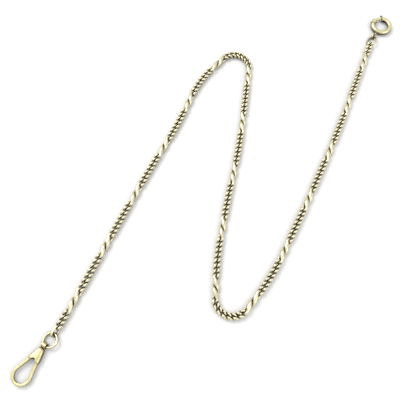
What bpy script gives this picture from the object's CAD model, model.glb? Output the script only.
import math
import bpy
import numpy as np
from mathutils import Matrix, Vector


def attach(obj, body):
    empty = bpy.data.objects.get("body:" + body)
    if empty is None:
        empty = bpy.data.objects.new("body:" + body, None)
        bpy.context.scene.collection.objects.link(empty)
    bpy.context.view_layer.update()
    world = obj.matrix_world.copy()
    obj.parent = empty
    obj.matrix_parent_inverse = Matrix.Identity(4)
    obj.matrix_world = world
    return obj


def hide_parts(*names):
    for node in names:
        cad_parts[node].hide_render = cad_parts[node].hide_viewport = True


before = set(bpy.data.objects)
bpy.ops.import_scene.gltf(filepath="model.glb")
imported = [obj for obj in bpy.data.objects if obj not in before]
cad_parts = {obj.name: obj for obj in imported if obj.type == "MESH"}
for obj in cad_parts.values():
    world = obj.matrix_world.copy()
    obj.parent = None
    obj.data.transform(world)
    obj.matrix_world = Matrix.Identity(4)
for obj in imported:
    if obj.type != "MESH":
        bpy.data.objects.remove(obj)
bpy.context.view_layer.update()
MM = 0.001

# --- The chain's layout, in millimetres: the same numbers as the CAD source ---
AXIS_H = 1.3
CURB_PITCH = 1.9
LONG_PITCH = 8.6
# Heading of each long link in degrees: the three legs, with a fold after the sixth and the eleventh
HEADING = [
    63.3, 64, 63.4, 61.6, 67.2, 46.5,
    -97.5, -98.2, -102.8, -100.8, -93.3,
    50.6, 62.3, 63.6, 64.6, 67.1, 67,
]
START_HEADING = 62
END_HEADING = 66.5
CHAIN_START = np.array([-58.9, -57.78])
CURBS_PER_RUN = 7
END_CURBS = 3
BENDS = {5: "upper_bend_link_", 10: "lower_bend_link_"}
# From the point where two links cross to the middle of the wire at a link's tip
TIP_REACH = 0.484888


def heading_dir(deg):
    return np.array([math.cos(math.radians(deg)), math.sin(math.radians(deg))])


def unit(v):
    return v / np.linalg.norm(v)


def placed(points, origin, heading, height=AXIS_H):
    """Local points (x along the chain) moved to their place in the row frame, in metres."""
    a = math.radians(heading)
    turn = np.array([[math.cos(a), -math.sin(a), 0], [math.sin(a), math.cos(a), 0], [0, 0, 1]])
    return (points @ turn.T + np.array([origin[0], origin[1], height])) * MM


def rot_x(points, deg):
    a = math.radians(deg)
    return points @ np.array([[1, 0, 0], [0, math.cos(a), math.sin(a)], [0, -math.sin(a), math.cos(a)]])


# --- Sweeping a section along a closed or open line ---
def tangents(path, closed):
    if closed:
        d = np.roll(path, -1, 0) - np.roll(path, 1, 0)
    else:
        d = np.gradient(path, axis=0)
    return d / np.linalg.norm(d, axis=1, keepdims=True)


def carried_frames(path, closed, start_out):
    """Unit vectors across the path that turn as little as possible, and meet on a closed path."""
    t = tangents(path, closed)
    out = [unit(start_out - t[0] * (start_out @ t[0]))]
    for i in range(1, len(path)):
        o = out[-1] - t[i] * (out[-1] @ t[i])
        out.append(unit(o))
    out = np.array(out)
    if closed:
        last = unit(out[-1] - t[0] * (out[-1] @ t[0]))
        gap = math.atan2(np.cross(last, out[0]) @ t[0], last @ out[0])
        for i in range(len(path)):
            a = gap * i / len(path)
            out[i] = out[i] * math.cos(a) + np.cross(t[i], out[i]) * math.sin(a)
    return t, out


def sweep(path, closed, half_out, half_wide, out=None, sides=16, power=2.0):
    """Vertices and faces of a tube, with its half sizes along 'out' and across it."""
    n = len(path)
    t = tangents(path, closed)
    if out is None:
        t, out = carried_frames(path, closed, np.array([0.3, 0.2, 1.0]))
    out = out - t * np.sum(out * t, 1, keepdims=True)
    out /= np.linalg.norm(out, axis=1, keepdims=True)
    wide = np.cross(t, out)
    a = np.arange(sides) * 2 * math.pi / sides
    ca, sa = np.cos(a), np.sin(a)
    scale = (np.abs(ca) ** power + np.abs(sa) ** power) ** (-1 / power)
    ho = np.broadcast_to(half_out, n)
    hw = np.broadcast_to(half_wide, n)
    v = (path[:, None, :] + (ho[:, None] * (ca * scale))[:, :, None] * out[:, None, :]
         + (hw[:, None] * (sa * scale))[:, :, None] * wide[:, None, :])
    faces = []
    rings = n if closed else n - 1
    for i in range(rings):
        k = (i + 1) % n
        for j in range(sides):
            m = (j + 1) % sides
            faces.append((i * sides + j, i * sides + m, k * sides + m, k * sides + j))
    verts = v.reshape(-1, 3)
    if not closed:
        faces.append(tuple(range(sides - 1, -1, -1)))
        faces.append(tuple((n - 1) * sides + j for j in range(sides)))
    return verts, faces


def joined(parts):
    verts, faces, base = [], [], 0
    for v, f in parts:
        verts.append(v)
        faces += [tuple(i + base for i in face) for face in f]
        base += len(v)
    return np.concatenate(verts), faces


def piece(name, verts, faces, material, node, body, slot, sharp=40):
    mesh = bpy.data.meshes.new(name)
    mesh.from_pydata(verts.tolist(), [], faces)
    mesh.validate()
    mesh.update()
    obj = bpy.data.objects.new(name, mesh)
    bpy.context.scene.collection.objects.link(obj)
    mesh.polygons.foreach_set("use_smooth", [True] * len(mesh.polygons))
    mesh.set_sharp_from_angle(angle=math.radians(sharp))
    mesh.materials.append(material)
    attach(obj, body)
    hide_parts(node)
    return obj


# --- Materials ---
def gold(name, bright, dark, rough, low=0.45, grime=0.9, speck=0.0, reach=1.8, flank=0.25):
    """Metal that is bright where it is open and turned up or down, and dark with patina elsewhere.

    low and grime are the openness at which the patina is full and gone, and reach is how many
    millimetres around it counts.
    speck is the strength of the worn spots, and flank that of the patina on the sides.
    """
    mat = bpy.data.materials.new(name)
    mat.use_nodes = True
    nt = mat.node_tree
    bsdf = nt.nodes["Principled BSDF"]
    bsdf.inputs["Metallic"].default_value = 1.0
    ao = nt.nodes.new("ShaderNodeAmbientOcclusion")
    ao.samples = 12
    ao.inputs["Distance"].default_value = reach * MM
    ramp = nt.nodes.new("ShaderNodeMapRange")
    ramp.inputs["From Min"].default_value = low
    ramp.inputs["From Max"].default_value = grime
    nt.links.new(ao.outputs["AO"], ramp.inputs["Value"])
    noise = nt.nodes.new("ShaderNodeTexNoise")
    noise.inputs["Scale"].default_value = 900.0
    noise.inputs["Detail"].default_value = 3.0
    coord = nt.nodes.new("ShaderNodeTexCoord")
    nt.links.new(coord.outputs["Object"], noise.inputs["Vector"])
    worn = nt.nodes.new("ShaderNodeMapRange")
    worn.inputs["From Min"].default_value = 0.3
    worn.inputs["From Max"].default_value = 0.62
    worn.inputs["To Min"].default_value = 1.0 - speck
    worn.inputs["To Max"].default_value = 1.0
    nt.links.new(noise.outputs["Fac"], worn.inputs["Value"])
    clean = nt.nodes.new("ShaderNodeMath")
    clean.operation = "MULTIPLY"
    nt.links.new(ramp.outputs["Result"], clean.inputs[0])
    nt.links.new(worn.outputs["Result"], clean.inputs[1])
    facing = nt.nodes.new("ShaderNodeSeparateXYZ")
    nt.links.new(coord.outputs["Normal"], facing.inputs["Vector"])
    level = nt.nodes.new("ShaderNodeMath")
    level.operation = "ABSOLUTE"
    nt.links.new(facing.outputs["Z"], level.inputs[0])
    polish = nt.nodes.new("ShaderNodeMapRange")
    polish.inputs["From Min"].default_value = 0.25
    polish.inputs["From Max"].default_value = 0.75
    polish.inputs["To Min"].default_value = 1.0 - flank
    polish.inputs["To Max"].default_value = 1.0
    nt.links.new(level.outputs["Value"], polish.inputs["Value"])
    kept = nt.nodes.new("ShaderNodeMath")
    kept.operation = "MULTIPLY"
    nt.links.new(clean.outputs["Value"], kept.inputs[0])
    nt.links.new(polish.outputs["Result"], kept.inputs[1])
    mix = nt.nodes.new("ShaderNodeMix")
    mix.data_type = "RGBA"
    mix.inputs["A"].default_value = (*dark, 1)
    mix.inputs["B"].default_value = (*bright, 1)
    nt.links.new(kept.outputs["Value"], mix.inputs["Factor"])
    nt.links.new(mix.outputs["Result"], bsdf.inputs["Base Color"])
    roughness = nt.nodes.new("ShaderNodeMapRange")
    roughness.inputs["To Min"].default_value = 0.55
    roughness.inputs["To Max"].default_value = rough
    nt.links.new(kept.outputs["Value"], roughness.inputs["Value"])
    nt.links.new(roughness.outputs["Result"], bsdf.inputs["Roughness"])
    bump = nt.nodes.new("ShaderNodeBump")
    bump.inputs["Strength"].default_value = 0.08
    bump.inputs["Distance"].default_value = 0.05 * MM
    nt.links.new(noise.outputs["Fac"], bump.inputs["Height"])
    nt.links.new(bump.outputs["Normal"], bsdf.inputs["Normal"])
    return mat


OLIVE = (0.06, 0.045, 0.015)
LINK_GOLD = gold("link gold", (0.87, 0.80, 0.55), OLIVE, 0.25)
LONG_GOLD = gold("long link gold", (0.88, 0.81, 0.56), OLIVE, 0.22)
CLIP_GOLD = gold("clip gold", (0.82, 0.74, 0.40), (0.07, 0.052, 0.018), 0.36,
                 low=0.52, grime=0.97, speck=0.15, reach=3.5, flank=0.8)
EYE_GOLD = gold("swivel gold", (0.70, 0.55, 0.29), (0.08, 0.05, 0.02), 0.36, grime=0.95, reach=2.5)
BOLT_GOLD = gold("bolt ring gold", (0.88, 0.80, 0.48), OLIVE, 0.22,
                 low=0.5, grime=0.97, reach=3.5, flank=0.7)
RING_GOLD = gold("ring gold", (0.86, 0.77, 0.50), OLIVE, 0.25,
                 low=0.5, grime=0.98, reach=3.5, flank=0.8)
PATINA = gold("dark patina", (0.06, 0.045, 0.02), (0.02, 0.014, 0.006), 0.6)
SPRING = gold("spring steel", (0.55, 0.55, 0.53), (0.1, 0.1, 0.1), 0.35)


# --- Curb link: two end bends in planes at 45 degrees to the flat, joined by outward side arcs ---
BEND_R = 0.9
BEND_HALF = math.radians(50)
CENTRE_X = 0.534888
HALF_W = 0.944214


def arc_from(p, travel, q, count):
    chord = q - p
    half = math.acos(travel @ unit(chord))
    radius = np.linalg.norm(chord) / 2 / math.sin(half)
    inward = unit(unit(chord) - travel * (travel @ unit(chord)))
    centre = p + radius * inward
    a = np.linspace(0, 2 * half, count, endpoint=False)[:, None]
    return centre - radius * np.cos(a) * inward + radius * np.sin(a) * travel


def curb_path(count=11):
    k = math.sqrt(0.5)
    plane = np.array([0, k, k])
    tip = np.array([1.0, 0, 0])
    centre = np.array([CENTRE_X, 0, 0])
    a = np.linspace(0, BEND_HALF, count, endpoint=False)[:, None]
    bend = centre + BEND_R * (np.cos(a) * tip + np.sin(a) * plane)
    p = centre + BEND_R * (math.cos(BEND_HALF) * tip + math.sin(BEND_HALF) * plane)
    travel = math.cos(BEND_HALF) * plane - math.sin(BEND_HALF) * tip
    side = arc_from(p, travel, np.array([0, HALF_W, 0]), count + 3)
    quarter = np.concatenate([bend, side])
    mid = np.array([[0, HALF_W, 0]])
    back = quarter[::-1] * [-1, 1, -1]
    half = np.concatenate([quarter, mid, back[:-1]])
    other = half * [-1, -1, 1]
    return np.concatenate([half, [[-(CENTRE_X + BEND_R), 0, 0]], other[1:]])


CURB_WIRE_R = 0.42
CURB = sweep(curb_path(), True, CURB_WIRE_R, CURB_WIRE_R)


def curb_at(origin, heading):
    v, f = CURB
    return placed(v + [CURB_PITCH / 2, 0, 0], origin, heading), f


# --- Long link: one closed loop, twisted so that its two strands wind side by side ---
LONG_TWIST = 270
LONG_WAIST_R = 0.67
LONG_BEND_R = 0.97
LONG_WIRE = 0.88
WAIST_THICK = 1.24
WAIST_WIDE = 1.6
LONG_CENTRE_X = LONG_PITCH / 2 + TIP_REACH - LONG_BEND_R


def around(a):
    return np.stack([np.zeros_like(a), np.cos(a), np.sin(a)], -1)


def long_loop(rings=56, bends=14):
    u = np.linspace(-1, 1, rings)
    twist = -math.radians(LONG_TWIST) / 2 * (3 * u - u ** 3) / 2
    r = LONG_WAIST_R + (LONG_BEND_R - LONG_WAIST_R) * u ** 4
    path, out, ho, hw = [], [], [], []
    for turn, way in ((0, 1), (math.pi, -1)):
        s = slice(None, None, way)
        p = around(twist + turn) * r[:, None]
        p[:, 0] = u * LONG_CENTRE_X
        path.append(p[s])
        out.append(around(twist + turn)[s])
        ho.append((WAIST_THICK + (LONG_WIRE - WAIST_THICK) * u ** 4)[s] / 2)
        hw.append((WAIST_WIDE + (LONG_WIRE - WAIST_WIDE) * u ** 4)[s] / 2)
        a = np.arange(1, bends) * math.pi / bends
        e = around(np.array([twist[-1 if way > 0 else 0] + turn]))[0]
        o = np.outer(np.sin(a), [way, 0, 0]) + np.outer(np.cos(a), e)
        path.append(o * LONG_BEND_R + [way * LONG_CENTRE_X, 0, 0])
        out.append(o)
        ho.append(np.full(len(a), LONG_WIRE / 2))
        hw.append(np.full(len(a), LONG_WIRE / 2))
    cat = np.concatenate
    return sweep(cat(path), True, cat(ho), cat(hw), out=cat(out), sides=20)


LONG = long_loop()


def long_at(origin, heading):
    v, f = LONG
    return placed(v + [LONG_PITCH / 2, 0, 0], origin, heading), f


def plain_link(length, bend_r, wire):
    straight = length - wire - 2 * bend_r
    a = np.linspace(-90, 90, 28) * math.pi / 180
    right = np.stack([straight / 2 + bend_r * np.cos(a), bend_r * np.sin(a), 0 * a], -1)
    path = np.concatenate([right, -right])
    return sweep(path, True, wire / 2, wire / 2, sides=18)


# --- The chain ---
def run_heading(k, i):
    return HEADING[k] + (HEADING[k + 1] - HEADING[k]) * i / (CURBS_PER_RUN + 1)


CAD_WIRE = 0.8
RING_WIRE = 0.9
RING_CROSSING = (CAD_WIRE + RING_WIRE) / 2 + 0.2
END_LINK = 4.6
END_LINK_R = 1.08
END_LINK_WIRE = 0.82
END_PLANE = 56
END_PITCH = END_LINK - CAD_WIRE - RING_CROSSING / 2 - TIP_REACH

p = CHAIN_START.copy()
v, f = plain_link(END_LINK, END_LINK_R, END_LINK_WIRE)
v = rot_x(v, END_PLANE) + [END_LINK / 2 - CAD_WIRE / 2 - RING_CROSSING / 2, 0, 0]
parts = [(placed(v, p, START_HEADING), f)]
p = p + END_PITCH * heading_dir(START_HEADING)
for i in range(END_CURBS):
    parts.append(curb_at(p, START_HEADING))
    p = p + CURB_PITCH * heading_dir(START_HEADING)
piece("links_at_clip", *joined(parts), LINK_GOLD, "clip_end_links", "clip_end_links", "curb_links")

for k, h in enumerate(HEADING):
    name = f"long_link_{k + 1:02d}"
    piece("twisted_" + name, *long_at(p, h), LONG_GOLD, name, name, "twisted_links")
    p = p + LONG_PITCH * heading_dir(h)
    if k == len(HEADING) - 1:
        break
    parts = []
    for i in range(1, CURBS_PER_RUN + 1):
        here = curb_at(p, run_heading(k, i))
        if k in BENDS:
            node = BENDS[k] + str(i)
            piece("curb_" + node, *here, LINK_GOLD, node, node, "curb_links")
        parts.append(here)
        p = p + CURB_PITCH * heading_dir(run_heading(k, i))
    if k not in BENDS:
        node = f"curb_run_{k + 1:02d}"
        piece("curbs_" + node, *joined(parts), LINK_GOLD, node, node, "curb_links")
parts = []
for i in range(END_CURBS):
    parts.append(curb_at(p, END_HEADING))
    p = p + CURB_PITCH * heading_dir(END_HEADING)
piece("links_at_bolt_ring", *joined(parts), LINK_GOLD, "bolt_end_links", "bolt_end_links", "curb_links")
CHAIN_END = p

# --- Dog clip. Its frame: origin at the swivel eye, +X towards the loop, gate on the -Y side ---
RING_D = 5.8
RING_R = (RING_D - RING_WIRE) / 2
RING_TILT = 12
CLIP_HEADING = START_HEADING - 186.5
RING_CENTRE = CHAIN_START - (RING_R - RING_CROSSING / 2) * heading_dir(START_HEADING)
EYE_HEADING = CLIP_HEADING - 10
CLIP_CENTRE = RING_CENTRE + (RING_R - 0.1) * heading_dir(EYE_HEADING)


def in_clip(parts):
    v, f = joined(parts)
    return placed(v, CLIP_CENTRE, CLIP_HEADING), f


def circle(radius, count=72):
    a = np.arange(count) * 2 * math.pi / count
    return np.stack([radius * np.cos(a), radius * np.sin(a), 0 * a], -1)


def loft(rings, sides=48):
    """A closed skin through rings about the X axis, each (x, half width, half thickness, squareness)."""
    a = np.arange(sides) * 2 * math.pi / sides
    verts = []
    for x, w, t, power in rings:
        s = (np.abs(np.cos(a)) ** power + np.abs(np.sin(a)) ** power) ** (-1 / power)
        verts.append(np.stack([0 * a + x, w * np.cos(a) * s, t * np.sin(a) * s], -1))
    faces = []
    for i in range(len(rings)):
        k = (i + 1) % len(rings)
        for j in range(sides):
            m = (j + 1) % sides
            faces.append((i * sides + j, i * sides + m, k * sides + m, k * sides + j))
    return np.concatenate(verts), faces


v, f = sweep(circle(RING_R), True, RING_WIRE / 2, RING_WIRE / 2, sides=20)
ring = placed(rot_x(v, RING_TILT), RING_CENTRE, EYE_HEADING)
piece("round_ring", ring, f, RING_GOLD, "clip_ring", "clip_ring", "plain_rings")

# The collar's skin from the neck out to the rim and back inside: x, half width, half thickness, squareness
COLLAR = [
    (1.27, 0.6, 0.6, 2), (1.22, 0.64, 0.64, 2), (1.22, 1.02, 0.98, 2.2), (1.31, 1.15, 1.1, 2.4),
    (1.9, 1.3, 1.2, 2.8), (2.8, 1.56, 1.26, 3), (3.8, 1.84, 1.29, 3.2), (4.8, 2.1, 1.3, 3.2),
    (5.45, 2.25, 1.3, 3), (5.61, 2.26, 1.27, 3), (5.65, 2.2, 1.2, 3), (5.63, 2.08, 1.08, 3),
    (5.35, 1.95, 1.0, 3), (4.3, 1.7, 0.98, 3), (3.0, 1.32, 0.95, 2.6), (2.03, 1.04, 0.9, 2.2),
    (2.02, 0.64, 0.64, 2),
]
COLLAR_SIDES = 96
MOUTH_X = 5.65
BITE_DEPTH = 0.85
BITE_HALF = 1.2
BITE_CURVE = 1.5
UPPER_SIDE = 0.3
INNER_RINGS = 10

# A round bite out of the upper rim of the mouth, with the dark inside seen through it
v, f = loft(COLLAR, COLLAR_SIDES)
across = np.clip(v[:, 1] / BITE_HALF, -1, 1)
bitten = MOUTH_X - BITE_DEPTH * np.cos(across * math.pi / 2) ** BITE_CURVE
v[:, 0] = np.where(v[:, 2] > UPPER_SIDE, np.minimum(v[:, 0], bitten), v[:, 0])
shell = piece("collar_shell", *in_clip([(v, f)]), CLIP_GOLD, "collar", "clip", "clip", sharp=50)
shell.data.materials.append(PATINA)
for face in shell.data.polygons:
    if face.index // COLLAR_SIDES >= INNER_RINGS:
        face.material_index = 1

PIN_R = 0.3
PIN_HALF = 1.15
LEG_X = 5.9
BAR_HALF_GAP = 1.4
LOOP_X = 11.5
LOOP_R = 3.0
TANG_Y = 1.02
PIVOT_X = 4.75
SEAM_X = 9.5
BAR_R = 0.55
GATE_R = 0.54
RIDGE_DEPTH = 0.035
RIDGE_PITCH = 0.42
SMOOTH_END = 1.6
BAR_START = PIVOT_X - 0.3
span = math.hypot(LOOP_X - LEG_X, BAR_HALF_GAP)
LEG_ANGLE = math.asin(LOOP_R / span) - math.atan2(BAR_HALF_GAP, LOOP_X - LEG_X)


def line(p, q, count):
    s = np.linspace(0, 1, count, endpoint=False)[:, None]
    return np.array(p) + s * (np.array(q) - np.array(p))


def loop_point(a):
    return np.array([LOOP_X + LOOP_R * math.cos(a), LOOP_R * math.sin(a), 0])


top = loop_point(math.pi / 2 + LEG_ANGLE)
low = loop_point(-math.pi / 2 - LEG_ANGLE)
arc = np.array([loop_point(a) for a in np.linspace(math.pi / 2 + LEG_ANGLE, -math.pi / 2 - LEG_ANGLE, 60)])
along_leg = np.array([math.cos(LEG_ANGLE), -math.sin(LEG_ANGLE), 0])
seam = low - (low[0] - SEAM_X) / math.cos(LEG_ANGLE) * along_leg
hook = np.concatenate([line([BAR_START, TANG_Y, 0], top, 26), arc, line(low, seam, 10)[1:], [seam]])
out_of_loop = np.cross(tangents(hook, False), [0, 0, -1.0])
bar = sweep(hook, False, BAR_R, BAR_R, out=out_of_loop, sides=24, power=3.2)
piece("hook_bar", *in_clip([bar]), CLIP_GOLD, "hook", "clip", "clip", sharp=60)

tip = np.array([SEAM_X - 0.1, seam[1] + 0.03, 0])
gate = np.concatenate([line([BAR_START, -TANG_Y, 0], tip, 160), [tip]])
down = np.tile([math.sin(-LEG_ANGLE), -math.cos(LEG_ANGLE), 0], (len(gate), 1))
along = np.linspace(0, 1, len(gate)) * np.linalg.norm(tip - gate[0])
wave = 0.5 + 0.5 * np.cos(along * 2 * math.pi / RIDGE_PITCH)
ridge = GATE_R - RIDGE_DEPTH * wave * (along > SMOOTH_END)
piece("gate_bar", *in_clip([sweep(gate, False, ridge, ridge, out=down, sides=24, power=4)]),
      CLIP_GOLD, "gate", "gate", "clip", sharp=60)

pins = []
for y in (-TANG_Y, TANG_Y):
    axis = line([PIVOT_X, y, -PIN_HALF], [PIVOT_X, y, PIN_HALF], 8)
    pins.append(sweep(axis, False, PIN_R, PIN_R, out=np.tile([1.0, 0, 0], (8, 1)), sides=24))
piece("pins_in_collar", *in_clip(pins), CLIP_GOLD, "clip_pins", "clip", "clip")

# --- Bolt ring and the oval ring it hangs on ---
OVAL_L = 5.2
OVAL_W = 4.2
OVAL_WIRE = 0.8
OVAL_TILT = -31
OVAL_CROSSING = (CAD_WIRE + OVAL_WIRE) / 2 + 0.05
OVAL_CENTRE = CHAIN_END + (OVAL_L / 2 - OVAL_WIRE / 2 - OVAL_CROSSING / 2) * heading_dir(END_HEADING)
v, f = plain_link(OVAL_L, (OVAL_W - OVAL_WIRE) / 2, OVAL_WIRE)
oval = placed(rot_x(v, OVAL_TILT), OVAL_CENTRE, END_HEADING)
piece("oval_link", oval, f, RING_GOLD, "oval_ring", "oval_ring", "plain_rings")

# --- Hardware shown as the CAD has it ---
FINISH = {
    "swivel_eye": EYE_GOLD, "gate_spring": SPRING,
    "bolt_tube": BOLT_GOLD, "ring_eye": BOLT_GOLD, "sliding_bolt": BOLT_GOLD,
    "thumb_pin": BOLT_GOLD, "bolt_spring": SPRING,
}
for node, material in FINISH.items():
    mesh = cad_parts[node].data
    mesh.materials.clear()
    mesh.materials.append(material)

# --- Floor, light and camera ---
def plain(name, color, rough):
    mat = bpy.data.materials.new(name)
    mat.use_nodes = True
    bsdf = mat.node_tree.nodes["Principled BSDF"]
    bsdf.inputs["Base Color"].default_value = (*color, 1)
    bsdf.inputs["Roughness"].default_value = rough
    return mat


bpy.ops.mesh.primitive_plane_add(size=4, location=(0, 0, 0))
floor = bpy.context.object
floor.name = "floor"
floor.data.materials.append(plain("pale floor", (0.93, 0.93, 0.925), 0.9))


def area(name, place, size, power, color=(1, 1, 1)):
    data = bpy.data.lights.new(name, "AREA")
    data.shape = "RECTANGLE"
    data.size, data.size_y = size
    data.energy = power
    data.color = color
    lamp = bpy.data.objects.new(name, data)
    bpy.context.scene.collection.objects.link(lamp)
    lamp.location = place
    lamp.rotation_euler = (-Vector(place)).to_track_quat("-Z", "Y").to_euler()


area("key", (-0.35, 0.3, 0.6), (0.4, 0.4), 2.3)
area("fill", (0.5, -0.3, 0.5), (0.5, 0.35), 0.9)
world = bpy.data.worlds.new("studio")
world.use_nodes = True
wt = world.node_tree
bg = wt.nodes["Background"]
bg.inputs["Color"].default_value = (1, 1, 1, 1)
where = wt.nodes.new("ShaderNodeTexCoord")
height = wt.nodes.new("ShaderNodeSeparateXYZ")
wt.links.new(where.outputs["Generated"], height.inputs["Vector"])
dome = wt.nodes.new("ShaderNodeMapRange")
dome.interpolation_type = "SMOOTHSTEP"
dome.inputs["From Min"].default_value = 0.1
dome.inputs["From Max"].default_value = 0.65
dome.inputs["To Min"].default_value = 0.5
dome.inputs["To Max"].default_value = 0.9
wt.links.new(height.outputs["Z"], dome.inputs["Value"])
wt.links.new(dome.outputs["Result"], bg.inputs["Strength"])
bpy.context.scene.world = world
bpy.context.scene.view_settings.view_transform = "Standard"

ELEVATION = math.radians(70)
DISTANCE = 0.186
TARGET = Vector((-0.00953, -0.00939, 0.0013))
cam = bpy.data.objects.new("camera", bpy.data.cameras.new("camera"))
bpy.context.scene.collection.objects.link(cam)
cam.data.sensor_width = 36
cam.data.lens = 45.3
cam.data.clip_start = 0.01
cam.location = TARGET + DISTANCE * Vector((0, -math.cos(ELEVATION), math.sin(ELEVATION)))
cam.rotation_euler = (TARGET - cam.location).to_track_quat("-Z", "Y").to_euler()
bpy.context.scene.camera = cam
